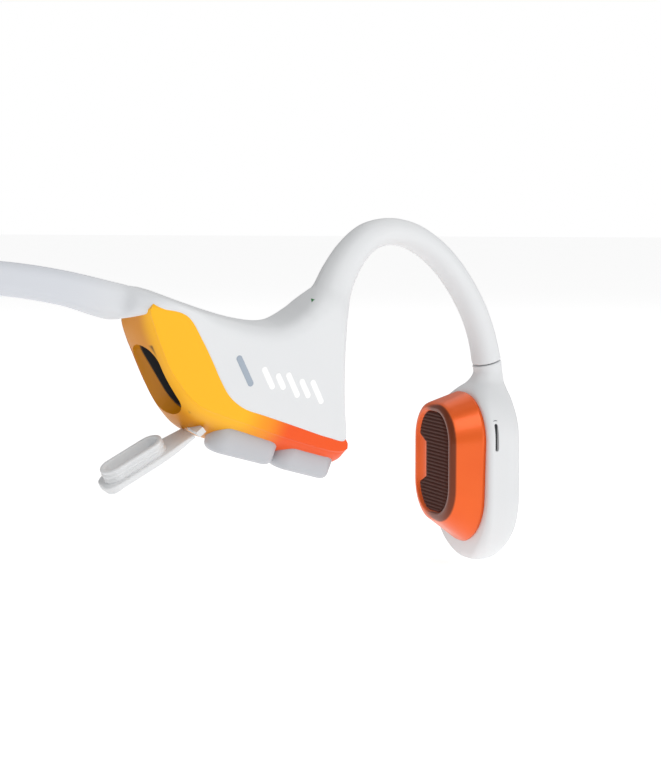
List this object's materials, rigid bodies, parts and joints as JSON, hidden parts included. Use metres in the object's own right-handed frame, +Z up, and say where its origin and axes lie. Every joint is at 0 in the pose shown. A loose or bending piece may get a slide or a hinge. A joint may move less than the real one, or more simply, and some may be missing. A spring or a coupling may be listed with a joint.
{
  "type": "bone conduction headphones",
  "caption": "Open-ear bone conduction headphones: sprung neckband, two pods behind the ears, ear hooks and two ribbed transducers.",
  "frame": {"origin": "middle of the bottom of the whole object's box, which lies on the plane of symmetry of the drivers", "axes": "+X to the wearer's right, +Y forwards, +Z up"},
  "size_m": [0.1598, 0.1136, 0.0622],
  "materials": {
    "white_silicone": "soft satin silicone skin",
    "white_shell": "satin moulded plastic",
    "orange_shell": "satin moulding that fades from yellow at the rear to orange at the front",
    "dark_nylon": "glass-filled nylon",
    "copper_cap": "satin metallic orange coating",
    "pad_rubber": "ribbed dark orange-brown silicone",
    "dark_rubber": "soft black silicone",
    "titanium": "drawn memory wire",
    "cable_jacket": "smooth jacket",
    "copper_wire": "enamelled copper",
    "steel": "stamped",
    "nickel": "nickel plated",
    "dark_mesh": "woven acoustic mesh",
    "light_guide": "frosted clear plastic",
    "board": "solder mask",
    "chip": "moulded package",
    "grey_key": "matte moulded",
    "pouch": "laminated foil pouch",
    "foam": "closed-cell foam"
  },
  "bodies": {
    "right_side": {"band_cable": "cable_jacket", "band_wire": "titanium", "board_chips": "chip", "flap_anchor": "white_silicone", "key_board": "board", "key_seal": "dark_rubber", "key_switches": "steel", "light_lens": "light_guide", "main_board": "board", "port_bezel": "dark_nylon", "right_band_sleeve": "white_silicone", "right_hook_cable": "cable_jacket", "right_hook_wire": "titanium", "right_pod_chassis": "dark_nylon", "right_pod_shell": "orange_shell", "right_pod_skin": "white_silicone", "status_led": "light_guide", "usb_socket": "steel"},
    "left_side": {"battery": "pouch", "battery_foam": "foam", "left_band_sleeve": "white_silicone", "left_hook_cable": "cable_jacket", "left_hook_wire": "titanium", "left_pod_chassis": "dark_nylon", "left_pod_shell": "orange_shell", "left_pod_skin": "white_silicone", "link_board": "board"},
    "right_driver": {"right_hook_sleeve": "white_silicone", "right_driver_shell": "white_shell", "right_driver_cap": "copper_cap", "right_contact_pad": "pad_rubber", "right_cap_gasket": "dark_rubber", "right_voice_coil": "copper_wire", "right_spring_plate": "steel", "right_microphone": "steel", "right_mic_mesh": "dark_mesh"},
    "left_driver": {"left_hook_sleeve": "white_silicone", "left_driver_shell": "white_shell", "left_driver_cap": "copper_cap", "left_contact_pad": "pad_rubber", "left_cap_gasket": "dark_rubber", "left_voice_coil": "copper_wire", "left_spring_plate": "steel", "left_microphone": "steel", "left_mic_mesh": "dark_mesh", "multi_switch": "steel"},
    "right_magnet_group": {"right_magnet": "nickel", "right_pole_plate": "steel", "right_yoke": "steel"},
    "left_magnet_group": {"left_magnet": "nickel", "left_pole_plate": "steel", "left_yoke": "steel"},
    "port_flap": {"port_flap": "white_silicone"},
    "volume_up_key": {"volume_up_key": "grey_key"},
    "volume_down_key": {"volume_down_key": "grey_key"},
    "multi_button": {"multi_button": "white_shell"}
  },
  "joints": [
    {"name": "band_flex", "type": "hinge", "parent": "right_side", "child": "left_side", "pos_m": [0, -0.05684, 0.05351], "axis": [0, 0, 1], "range_deg": [-4, 25], "stiffness_Nm_per_rad": 0.2, "deforming": ["band_wire", "band_cable"]},
    {"name": "right_hook_flex", "type": "hinge", "parent": "right_side", "child": "right_driver", "pos_m": [0.06305, 0.02859, 0.0598], "axis": [0.4067, 0.9135, 0], "range_deg": [-8, 8], "stiffness_Nm_per_rad": 0.12, "deforming": ["right_hook_wire", "right_hook_cable"]},
    {"name": "left_hook_flex", "type": "hinge", "parent": "left_side", "child": "left_driver", "pos_m": [-0.06305, 0.02859, 0.0598], "axis": [0.4067, -0.9135, 0], "range_deg": [-8, 8], "stiffness_Nm_per_rad": 0.12, "deforming": ["left_hook_wire", "left_hook_cable"]},
    {"name": "port_flap_hinge", "type": "hinge", "parent": "right_side", "child": "port_flap", "pos_m": [0.0416, -0.00196, 0.0274], "axis": [-0.8352, 0.5219, 0.1736], "range_deg": [0, 83.88], "stiffness_Nm_per_rad": 0.001},
    {"name": "volume_up_press", "type": "slide", "parent": "right_side", "child": "volume_up_key", "axis": [0.2876, 0.1453, 0.9467], "range_m": [0, 0.00025], "stiffness_N_per_m": 800},
    {"name": "volume_down_press", "type": "slide", "parent": "right_side", "child": "volume_down_key", "axis": [0.2876, 0.1453, 0.9467], "range_m": [0, 0.00025], "stiffness_N_per_m": 800},
    {"name": "multi_button_press", "type": "slide", "parent": "left_driver", "child": "multi_button", "axis": [0.6018, -0.7986, 0], "range_m": [0, 0.00035], "stiffness_N_per_m": 800},
    {"name": "right_magnet_float", "type": "slide", "parent": "right_driver", "child": "right_magnet_group", "axis": [-0.6018, -0.7986, 0], "range_m": [-0.0002, 0.0002], "stiffness_N_per_m": 400, "deforming": ["right_spring_plate"]},
    {"name": "left_magnet_float", "type": "slide", "parent": "left_driver", "child": "left_magnet_group", "axis": [0.6018, -0.7986, 0], "range_m": [-0.0002, 0.0002], "stiffness_N_per_m": 400, "deforming": ["left_spring_plate"]}
  ]
}
